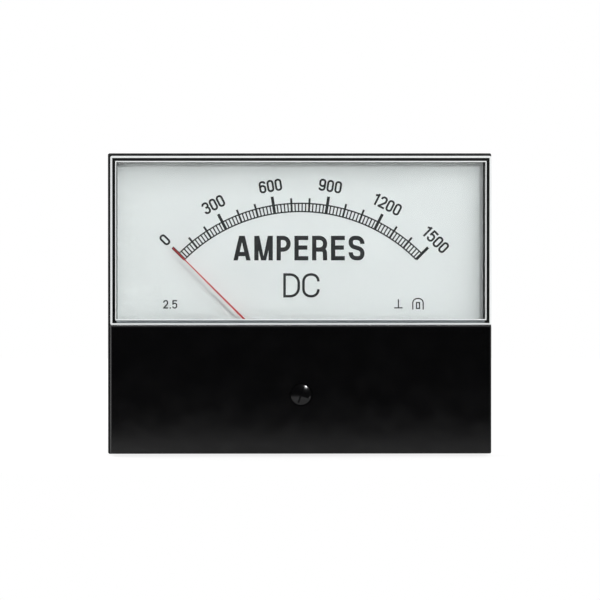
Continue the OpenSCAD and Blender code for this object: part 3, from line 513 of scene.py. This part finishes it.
def outline_loops(corners, width, closed):
    """One loop round an open stroke, or two round a closed one."""
    line = rounded_line(corners, closed)
    sides = ([], [])
    count = len(line)
    for i, here in enumerate(line):
        before = line[i - 1] if closed or i else here * 2 - line[1]
        after = line[(i + 1) % count] if closed or i < count - 1 else here * 2 - line[-2]
        way_in, way_out = (here - before).normalized(), (after - here).normalized()
        across = Vector((-(way_in + way_out).y, (way_in + way_out).x)).normalized()
        reach = width / 2 / max(across.dot(Vector((-way_in.y, way_in.x))), 0.3)
        sides[0].append(here + across * reach)
        sides[1].append(here - across * reach)
    return [sides[0], sides[1]] if closed else [sides[0] + sides[1][::-1]]


print("a round corner gets", ARC_STEPS + 1, "points")

# %% [markdown]
# ## The alphabet of this dial
# The dial needs six letters for the unit, two for the kind of current and seven digits.
# Every letter is a list of strokes. A stroke is its corners and whether it closes. The letters
# are given by their width w and stroke s, so one recipe serves the bold word and the light one.

# %% The strokes of each letter
def bowl_corners(left, right, low, high, radius):
    return [(left, low, radius), (right, low, radius), (right, high, radius), (left, high, radius)]


def letter_strokes(letter, w, s):
    """The strokes of a letter of height 1 and width w, drawn with a pen of width s."""
    left, right, low, high = s / 2, w - s / 2, s / 2, 1 - s / 2
    r = (w - s) / 2
    stem = ([(left, 0, 0), (left, 1, 0)], False)
    if letter == "0":
        return [(bowl_corners(left, right, low, high, r), True)]
    if letter == "1":
        middle = w - s
        return [([(middle, 0, 0), (middle, 1, 0)], False),
                ([(middle - 0.6 * w, 0.76, 0), (middle, 0.76 + 0.3 * w, 0)], False)]
    if letter == "2":
        return [([(left, 0.70, 0), (left, high, r), (right, high, r), (right, 0.56, 0.22),
                  (left + 0.02, s * 0.7, 0)], False), ([(0, low, 0), (w, low, 0)], False)]
    if letter == "3":
        return [([(left, 0.74, 0), (left, high, r), (right, high, r), (right, 0.53, r * 0.8),
                  (0.4 * w, 0.53, 0)], False),
                ([(0.4 * w, 0.53, 0), (right, 0.53, r * 0.8), (right, low, r), (left, low, r),
                  (left, 0.27, 0)], False)]
    if letter == "5":
        return [([(w * 0.96, high, 0), (left + 0.03, high, 0), (left, 0.46, 0)], False),
                ([(left, 0.46, 0), (left, 0.62, r * 0.6), (right, 0.62, r), (right, low, r),
                  (left, low, r), (left, 0.26, 0)], False)]
    if letter == "6":
        return [(bowl_corners(left, right, low, 0.60, r * 0.95), True),
                ([(left, 0.3, 0), (left, high, r), (right, high, r), (right, 0.75, 0)], False)]
    if letter == "9":
        return [([(w - x, 1 - y, radius) for x, y, radius in corners], closed)
                for corners, closed in letter_strokes("6", w, s)]
    if letter == "A":
        lean = s * 0.55
        return [([(lean - 0.04 * w, -0.08, 0), (w / 2 - s * 0.1, 1.04, 0)], False),
                ([(w - lean + 0.04 * w, -0.08, 0), (w / 2 + s * 0.1, 1.04, 0)], False),
                ([(0.2 * w, 0.26, 0), (0.8 * w, 0.26, 0)], False)]
    if letter == "M":
        return [stem, ([(right, 0, 0), (right, 1, 0)], False),
                ([(left * 1.1, 1.1, 0), (w / 2, -0.12, 0), (w - left * 1.1, 1.1, 0)], False)]
    if letter == "P":
        return [stem, ([(left, high, 0), (right, high, 0.24), (right, 0.44, 0.24),
                        (left, 0.44, 0)], False)]
    if letter == "R":
        return letter_strokes("P", w, s) + [
            ([(w * 0.45, 0.44, 0), (right - 0.01, 0.44, 0.13), (right, 0, 0)], False)]
    if letter == "E":
        return [stem] + [([(left, y, 0), (end * w, y, 0)], False)
                         for y, end in ((low, 1.0), (0.52, 0.93), (high, 1.0))]
    if letter == "S":
        return [([(right, 0.67, 0), (right, high, r), (left, high, r), (left, 0.585, 0.19),
                  (right, 0.44, 0.19), (right, low, r), (left, low, r), (left, 0.33, 0)], False)]
    if letter == "D":
        return [([(left, low, 0), (right, low, 0.36), (right, high, 0.36), (left, high, 0)], True)]
    if letter == "C":
        return [([(right, 0.34, 0), (right, low, r), (left, low, r), (left, high, r),
                  (right, high, r), (right, 0.66, 0)], False)]
    if letter == ".":
        return [([(0, low, 0), (s, low, 0)], False)]
    raise ValueError(letter)


# %% [markdown]
# A flat curve fills its loops, and its extrusion gives the ink its thickness. The strokes of a
# letter overlap, so they are made one solid with a boolean, and what a slanted stroke leaves
# beyond the line is cut off with bisect.

# %% Draw one letter
INK_SHARE = 0.03                     # the ink's thickness while a letter is drawn, of its height


def solid_stroke(corners, closed, width):
    """A flat solid in X and Y from one stroke."""
    curve = bpy.data.curves.new("stroke", "CURVE")
    curve.dimensions, curve.fill_mode, curve.extrude = "2D", "BOTH", INK_SHARE / 2
    for loop in outline_loops(corners, width, closed):
        spline = curve.splines.new("POLY")
        spline.points.add(len(loop) - 1)
        for point, place in zip(spline.points, loop):
            point.co = (place.x, place.y, 0, 1)
        spline.use_cyclic_u = True
    made = bpy.data.objects.new("stroke", curve)
    bpy.context.scene.collection.objects.link(made)
    pick(made)
    bpy.ops.object.convert(target="MESH")
    apply_modifier(made, "WELD", merge_threshold=1e-5)
    return made


def draw_letter(letter, w, s):
    """A letter of height 1, lying in X and Y, as one solid."""
    first, *others = [solid_stroke(corners, closed, s)
                      for corners, closed in letter_strokes(letter, w, s)]
    for other in others:
        cut_or_add(first, other, "UNION")
    if letter in "AM":
        for height, way in ((0, -1), (1, 1)):
            pick(first)
            bpy.ops.object.mode_set(mode="EDIT")
            bpy.ops.mesh.select_all(action="SELECT")
            bpy.ops.mesh.bisect(plane_co=(0, height, 0), plane_no=(0, way, 0), use_fill=True,
                                clear_outer=True)
            bpy.ops.object.mode_set(mode="OBJECT")
    return first


# %% [markdown]
# ## Setting type on the dial
# Type is set in one line, centred, and then stood up on the dial. The digits read along the
# arc: each number is set upright over the pivot and then turned about it, by the angle of its
# tick. Each letter shape is drawn once and copied.

# %% Set a line of type
letter_shapes = {}


def set_type(words, height, widths, s, gap):
    """A line of type in millimetres, centred on X, standing on Z=0 with its face at Y=-ink."""
    made, x = [], 0.0
    for letter in words:
        w = widths[letter]
        key = (letter, w, s)
        if key not in letter_shapes:
            letter_shapes[key] = draw_letter(letter, w / height, s / height)
        one = copy_of(letter_shapes[key], "type")
        one.scale = (height * MM, height * MM, 1.0)
        one.location.x = x * MM
        made.append(one)
        x += w + gap
    line = join(made, "type")
    apply_place(line)
    pick(line)
    ink = dial_low.y - ink_front
    line.scale = (1, 1, ink / INK_SHARE)
    line.rotation_euler.x = math.pi / 2
    line.location = (-(x - gap) / 2 * MM, -ink / 2, 0)
    bpy.ops.object.transform_apply(location=True, rotation=True, scale=True)
    return line


def put_on_dial(line, x, z):
    line.location = (x, dial_low.y, z)
    apply_place(line)
    return line


# %% [markdown]
# ## The numbers, the unit and the kind of current
# The numbers stand past the long ticks, from 0 to 1500 in steps of 300, evenly spread over the
# sweep. The unit is set large and bold in the middle, and DC, for direct current, below it in a
# lighter weight.

# %% Print the dial
SWEEP = math.radians(90)
NUMBERS = (0, 300, 600, 900, 1200, 1500)
DIGIT_H, DIGIT_S, DIGIT_GAP = 3.43, 0.56, 0.27
DIGIT_W = {digit: 1.96 for digit in "023569"} | {"1": 1.5}
NUMBER_R = 52.0 * MM                   # from the pivot to the foot of the numbers

numbers = []
for i, value in enumerate(NUMBERS):
    number = set_type(str(value), DIGIT_H, DIGIT_W, DIGIT_S, DIGIT_GAP)
    number.location = (0, dial_low.y, NUMBER_R)
    apply_place(number)
    number.rotation_euler.y = SWEEP * (i / (len(NUMBERS) - 1) - 0.5)
    number.location = (0, 0, pivot.z)
    apply_place(number)
    numbers.append(number)
dial_numbers = join(numbers, "dial_numbers")
dress(dial_numbers, ink, "case")

UNIT_W = {"A": 4.8, "M": 5.2, "P": 3.95, "E": 3.9, "R": 4.25, "S": 4.45}
dial_unit = put_on_dial(set_type("AMPERES", 6.9, UNIT_W, 1.2, 1.05), -0.4 * MM, 17.8 * MM)
dial_unit.name = "dial_unit"
dress(dial_unit, ink, "case")

dial_current = put_on_dial(set_type("DC", 6.8, {"D": 4.7, "C": 4.9}, 0.72, 0.6), 0.3 * MM, 7.4 * MM)
dial_current.name = "dial_current"
dress(dial_current, ink, "case")

# %% [markdown]
# ## Generic dial symbols
# Measuring instruments carry small signs that say how they work. Here they are the usual ones
# for a moving-coil instrument (a horseshoe magnet round a small coil), for use on an upright
# panel (an upside-down T), and the accuracy class, a plain number.

# %% Print the symbols
def set_strokes(strokes, height, s, name):
    """A drawn sign: strokes on a height of 1, set like a letter."""
    first, *others = [solid_stroke(corners, closed, s / height) for corners, closed in strokes]
    for other in others:
        cut_or_add(first, other, "UNION")
    ink_t = dial_low.y - ink_front
    first.scale = (height * MM, height * MM, ink_t / INK_SHARE)
    first.rotation_euler.x = math.pi / 2
    first.location.y = -ink_t / 2
    apply_place(first)
    first.name = name
    return first


SIGN_H = 2.6
magnet_sign = set_strokes([
    ([(-0.45, 0, 0), (-0.45, 0.95, 0.4), (0.45, 0.95, 0.4), (0.45, 0, 0)], False),
    ([(-0.13, 0.1, 0), (0.13, 0.1, 0), (0.13, 0.6, 0), (-0.13, 0.6, 0)], True),
], SIGN_H * 1.25, 0.34, "magnet_sign")
upright_sign = set_strokes([
    ([(-0.45, 0.07, 0), (0.45, 0.07, 0)], False), ([(0, 0, 0), (0, 1, 0)], False),
], SIGN_H, 0.34, "upright_sign")
class_number = set_type("2.5", 2.4, {"2": 1.4, "5": 1.4, ".": 0.36}, 0.36, 0.4)

put_on_dial(magnet_sign, 33 * MM, 4.0 * MM)
put_on_dial(upright_sign, 27.5 * MM, 4.3 * MM)
put_on_dial(class_number, -36.5 * MM, 4.3 * MM)
dial_signs = join([magnet_sign, upright_sign, class_number], "dial_signs")
dress(dial_signs, ink, "case")

for shape in letter_shapes.values():
    bpy.data.objects.remove(shape)
print("letter shapes drawn:", len(letter_shapes))

# %% [markdown]
# ## Threads
# A thread is one ridge that climbs round the stud. Its section, a blunt triangle, is drawn
# once, and the Screw modifier sweeps it round the axis while it moves back by one pitch a turn.
# The core is turned to the thread's root, with a chamfer on its end that leads a nut on. The
# CAD's plain studs have the outer diameter of the thread, so the threaded ones stand for them.

# %% Threaded rod
RIDGE_STEPS = 24


def threaded_rod(r, pitch, start, end, name):
    """A rod along Y from start to end, with a thread of outer radius r all along it."""
    root = r - 0.61 * pitch
    deselect()
    bpy.ops.mesh.primitive_cylinder_add(vertices=32, radius=root, depth=end - start,
                                        rotation=(math.pi / 2, 0, 0))
    core = bpy.context.object
    core.location.y = (start + end) / 2
    apply_place(core)
    bpy.ops.object.mode_set(mode="EDIT")
    bpy.ops.mesh.select_all(action="DESELECT")
    bpy.ops.object.mode_set(mode="OBJECT")
    for edge in core.data.edges:
        edge.select = all(core.data.vertices[v].co.y > end - 1e-6 for v in edge.vertices)
    bpy.ops.object.mode_set(mode="EDIT")
    bpy.ops.mesh.select_mode(type="EDGE")
    bpy.ops.mesh.bevel(offset=root * 0.25, segments=1)
    bpy.ops.object.mode_set(mode="OBJECT")

    deselect()
    bpy.ops.mesh.primitive_plane_add(size=1, rotation=(0, 0, 0))
    ridge = bpy.context.object
    foot = root * 0.98
    section = ((foot, 0.02), (r, 0.43), (r, 0.57), (foot, 0.98))
    for vertex, place in zip(ridge.data.vertices, (section[0], section[1], section[3], section[2])):
        vertex.co = (place[0], start + place[1] * pitch, 0)
    turns = int((end - start - root * 0.25) / pitch) - 1
    apply_modifier(ridge, "SCREW", axis="Y", screw_offset=pitch, iterations=turns,
                   steps=RIDGE_STEPS, render_steps=RIDGE_STEPS, use_merge_vertices=True,
                   merge_threshold=1e-7)
    rod = join([core, ridge], name)
    pick(rod)
    bpy.ops.object.mode_set(mode="EDIT")
    bpy.ops.mesh.select_all(action="SELECT")
    bpy.ops.mesh.normals_make_consistent(inside=False)
    bpy.ops.object.mode_set(mode="OBJECT")
    return rod


def at_each(piece, places, name):
    """A copy of the piece at each place, joined into one object."""
    made = []
    for place in places:
        one = copy_of(piece, name)
        one.location = place
        apply_place(one)
        made.append(one)
    bpy.data.objects.remove(piece)
    return join(made, name)


# %% [markdown]
# The terminal studs are M5 with a pitch of 0.8 mm, each with a hexagon head inside the barrel.
# The mounting studs have a pitch of 0.6 mm, a round head and a thicker pressed shank.

# %% Make the studs
def round_bar(r, start, end, sides=48):
    """A plain bar along Y."""
    deselect()
    bpy.ops.mesh.primitive_cylinder_add(vertices=sides, radius=r, depth=end - start,
                                        location=(0, (start + end) / 2, 0),
                                        rotation=(math.pi / 2, 0, 0))
    made = bpy.context.object
    apply_place(made)
    return made


TERMINAL_R, TERMINAL_PITCH = 2.5 * MM, 0.8 * MM
STUD_R, STUD_PITCH = 1.75 * MM, 0.6 * MM
STUD_SHANK_R, STUD_HEAD_R, STUD_HEAD_T = 2.1 * MM, 3.2 * MM, 1.47 * MM
TERMINAL_HEAD_T = 2 * MM
nut_corner_r = (terminal_high.z - terminal_low.z) / 2
nut_flats = 2 * nut_corner_r * math.cos(math.pi / 6)
terminal_x = terminal_high.x - nut_flats / 2
terminal_z = (terminal_high.z + terminal_low.z) / 2
terminal_places = [(side * terminal_x, 0, terminal_z) for side in (-1, 1)]
stud_places = [(x * (stud_high.x - STUD_HEAD_R), 0, z * (stud_high.z - STUD_HEAD_R))
               for x in (-1, 1) for z in (-1, 1)]

head_end = terminal_low.y + TERMINAL_HEAD_T
stud = join([
    round_bar(nut_corner_r, terminal_low.y, head_end, sides=6),
    threaded_rod(TERMINAL_R, TERMINAL_PITCH, head_end - 0.1 * MM, terminal_high.y, "rod"),
], "stud")
terminals = at_each(stud, terminal_places, "threaded_terminals")
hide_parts("terminal_studs")
dress(terminals, nickel, "case")

head_end = stud_low.y + STUD_HEAD_T
stud = join([
    round_bar(STUD_HEAD_R, stud_low.y, head_end),
    round_bar(STUD_SHANK_R, head_end - 0.1 * MM, panel_y),
    threaded_rod(STUD_R, STUD_PITCH, panel_y - 0.1 * MM, stud_high.y, "rod"),
], "stud")
panel_studs = at_each(stud, stud_places, "threaded_studs")
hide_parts("mounting_studs")
dress(panel_studs, brass, "case")

# %% [markdown]
# ## Nuts and washers
# A machined nut has a chamfer on both ends, where the hexagon bar was turned down to a circle.
# So the hexagon is cut with a disc whose rims are sloped: each end of a cylinder is inset and
# the inner face pulled out. The bore is cut last. A washer is such a disc with a bore.

# %% Make the nuts and washers
nut_low, nut_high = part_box("terminal_nuts")
washer_low, washer_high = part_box("terminal_washers")
NUT_T, WASHER_T, WASHER_R = 4 * MM, 1 * MM, 5 * MM
CHAMFER_RISE = 0.36 * MM
WASHER_SLOPE, WASHER_RISE = 0.15 * MM, 0.12 * MM
NUT_GAP, WASHER_GAP = 0.03 * MM, 0.1 * MM              # round the stud


def sloped_disc(r, thickness, slope, rise):
    """A disc along Y, from 0 to thickness, whose two rims slope by slope in and rise up."""
    made = round_bar(r, rise, thickness - rise, 64)
    for way in (-1, 1):
        pick(made)
        for face in made.data.polygons:
            face.select = face.normal.y * way > 0.9
        bpy.ops.object.mode_set(mode="EDIT")
        bpy.ops.mesh.select_mode(type="FACE")
        bpy.ops.mesh.inset(thickness=slope)
        bpy.ops.transform.translate(value=(0, way * rise, 0))
        bpy.ops.mesh.select_all(action="DESELECT")
        bpy.ops.object.mode_set(mode="OBJECT")
    return made


nut = round_bar(nut_corner_r, 0, NUT_T, 6)
turned = sloped_disc(nut_corner_r, NUT_T, nut_corner_r - nut_flats / 2, CHAMFER_RISE)
cut_or_add(nut, turned, "INTERSECT")
cut_or_add(nut, round_bar(TERMINAL_R + NUT_GAP, -MM, NUT_T + MM, 48), "DIFFERENCE")
nuts = at_each(nut, [(x, y, z) for x, _, z in terminal_places
                     for y in (nut_low.y, nut_high.y - NUT_T)], "chamfered_nuts")
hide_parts("terminal_nuts")
dress(nuts, nickel, "case")

washer = sloped_disc(WASHER_R, WASHER_T, WASHER_SLOPE, WASHER_RISE)
cut_or_add(washer, round_bar(TERMINAL_R + WASHER_GAP, -MM, WASHER_T + MM, 48), "DIFFERENCE")
washers = at_each(washer, [(x, y, z) for x, _, z in terminal_places
                           for y in (washer_low.y, washer_high.y - WASHER_T)], "rimmed_washers")
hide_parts("terminal_washers")
dress(washers, zinc, "case")

# %% [markdown]
# ## Polarity marks
# A direct-current meter must be wired the right way round, so a plus and a minus are moulded on
# the barrel's end, beside their terminals. They stand 0.4 mm proud, with rounded edges.

# %% Mould the marks
BARREL_END = 26 * MM                       # behind the panel's front face
MARK_L, MARK_W, MARK_H, MARK_ROUND = 5 * MM, 1.2 * MM, 0.4 * MM, 0.15 * MM
MARK_ABOVE = 11 * MM                       # over the terminal's axis
mark_z = terminal_z + MARK_ABOVE


def mark_bar(x, z, length_x, length_z):
    """A bar on the barrel's end. Its outer edges are rounded once the marks are joined."""
    deselect()
    bpy.ops.mesh.primitive_cube_add(size=1, location=(x, BARREL_END, z),
                                    scale=(length_x, 2 * MARK_H, length_z))
    made = bpy.context.object
    apply_place(made)
    return made


marks = mark_bar(terminal_x, mark_z, MARK_L, MARK_W)
cut_or_add(marks, mark_bar(terminal_x, mark_z, MARK_W, MARK_L), "UNION")
marks = join([marks, mark_bar(-terminal_x, mark_z, MARK_L, MARK_W)], "polarity_marks")
apply_modifier(marks, "BEVEL", width=MARK_ROUND, segments=2, limit_method="ANGLE")
dress(marks, phenolic, "case")

# %% [markdown]
# ## Floor, light and background
# The meter stands on a white floor in front of a white background. A lamp to the upper right of
# the viewer throws the pointer's narrow shadow down to the left, and the sky gives soft light
# from all sides. The background is white only for rays from the camera, from gloss and through
# glass that have met no dull surface yet, so that it doesn't flood the object. In front of the
# meter stands a dark card, as when glossy black things are photographed: only gloss and glass
# see it, and it keeps the skirt black. The floor ends before it, for the same reason.

# %% Build the stage
FLOOR_R, FLOOR_BACK, FLOOR_GAP = 0.5, 0.38, 0.2 * MM
FLOOR_GLOW_SHARE, FLOOR_GLOW = 0.75, 1.15
CARD_W, CARD_H, CARD_Y, CARD_Z = 2.2, 1.6, -1.2, 0.1
centre = (cad_low + cad_high) / 2
deselect()
bpy.ops.mesh.primitive_circle_add(vertices=96, radius=FLOOR_R, fill_type="NGON",
                                  location=(0, FLOOR_BACK, cad_low.z - FLOOR_GAP))
floor = bpy.context.object
floor.name = "floor"
floor_paint, tree, shader = start_material("white_floor", "#F4F4F4", 0.9)
glow = add_node(tree, "ShaderNodeEmission", {"Color": linear("#FFFFFF"), "Strength": FLOOR_GLOW})
path = add_node(tree, "ShaderNodeLightPath")
share = add_node(tree, "ShaderNodeMath", {0: path.outputs["Is Camera Ray"], 1: FLOOR_GLOW_SHARE},
                 operation="MULTIPLY")
mix = add_node(tree, "ShaderNodeMixShader", {
    0: share.outputs[0], 1: shader.outputs["BSDF"], 2: glow.outputs["Emission"]})
tree.links.new(mix.outputs["Shader"], tree.nodes["Material Output"].inputs["Surface"])
floor.data.materials.append(floor_paint)

world = bpy.data.worlds.new("studio")
bpy.context.scene.world = world
world.use_nodes = True
tree = world.node_tree
tree.nodes.clear()
path = add_node(tree, "ShaderNodeLightPath")
SKY = 0.55
seen = add_node(tree, "ShaderNodeMath", {
    0: path.outputs["Is Camera Ray"], 1: path.outputs["Is Glossy Ray"]}, operation="MAXIMUM")
seen = add_node(tree, "ShaderNodeMath", {
    0: seen.outputs[0], 1: path.outputs["Is Transmission Ray"]}, operation="MAXIMUM")
direct = add_node(tree, "ShaderNodeMath", {0: 0.5, 1: path.outputs["Diffuse Depth"]},
                  operation="GREATER_THAN")
seen = add_node(tree, "ShaderNodeMath", {0: seen.outputs[0], 1: direct.outputs[0]}, operation="MULTIPLY")
level = add_node(tree, "ShaderNodeMapRange", {"Value": seen.outputs[0], "To Min": SKY, "To Max": 1.0})
sky = add_node(tree, "ShaderNodeBackground", {
    "Color": linear("#FFFFFF"), "Strength": level.outputs["Result"]})
add_node(tree, "ShaderNodeOutputWorld", {"Surface": sky.outputs["Background"]})

deselect()
bpy.ops.mesh.primitive_plane_add(size=1, location=(0, CARD_Y, CARD_Z),
                                 rotation=(math.pi / 2, 0, 0))
card = bpy.context.object
card.name = "dark_card"
card.scale = (CARD_W, CARD_H, 1)
dark_card, tree, shader = start_material("dark_card", "#050505", 1.0)
path = add_node(tree, "ShaderNodeLightPath")
late = add_node(tree, "ShaderNodeMath", {0: path.outputs["Diffuse Depth"], 1: 0.5},
                operation="GREATER_THAN")
clear = add_node(tree, "ShaderNodeBsdfTransparent")
mix = add_node(tree, "ShaderNodeMixShader", {
    0: late.outputs[0], 1: shader.outputs["BSDF"], 2: clear.outputs["BSDF"]})
tree.links.new(mix.outputs["Shader"], tree.nodes["Material Output"].inputs["Surface"])
card.data.materials.append(dark_card)
card.visible_diffuse = False
card.visible_camera = False
card.visible_shadow = False


def add_lamp(name, kind, place, energy, size):
    """A lamp aimed at the middle of the meter."""
    lamp = bpy.data.lights.new(name, kind)
    lamp.energy = energy
    lamp.shape = "DISK"
    lamp.size = size
    made = bpy.data.objects.new(name, lamp)
    bpy.context.scene.collection.objects.link(made)
    made.location = Vector(place)
    made.rotation_euler = (Vector(centre) - made.location).to_track_quat("-Z", "Y").to_euler()
    return made


key = add_lamp("key", "AREA", (0.40, -0.95, 0.53), 4.4, 0.07)
rear = add_lamp("rear", "AREA", (-0.7, 0.9, 0.8), 8.0, 0.5)
print("lamps:", key.name, rear.name, "sky", SKY)

# %% [markdown]
# ## Camera and colour
# The meter is seen from straight in front and from far away, a little from the left and from
# above, with a long lens, so that its sides hardly show. The film shows colours as they are.

# %% Set the camera
VIEW_W = 167.6 * MM                        # what the picture's width takes in, at the front
DISTANCE = 2.0
LOOK_X, LOOK_Z = -0.28 * MM, 6.87 * MM     # the middle of the view, on the front
AZIMUTH, ELEVATION = math.radians(-1.3), math.radians(1.3)
aim = Vector((LOOK_X, window_low.y, LOOK_Z))
away = Vector((math.sin(AZIMUTH) * math.cos(ELEVATION), -math.cos(AZIMUTH) * math.cos(ELEVATION),
               math.sin(ELEVATION)))
camera = bpy.data.cameras.new("camera")
camera.lens = camera.sensor_width * DISTANCE / VIEW_W
camera.clip_end = 20
camera_object = bpy.data.objects.new("camera", camera)
bpy.context.scene.collection.objects.link(camera_object)
camera_object.location = aim + away * DISTANCE
camera_object.rotation_euler = (-away).to_track_quat("-Z", "Y").to_euler()
bpy.context.scene.camera = camera_object
bpy.context.scene.view_settings.view_transform = "Standard"
print("lens", round(camera.lens), "mm")
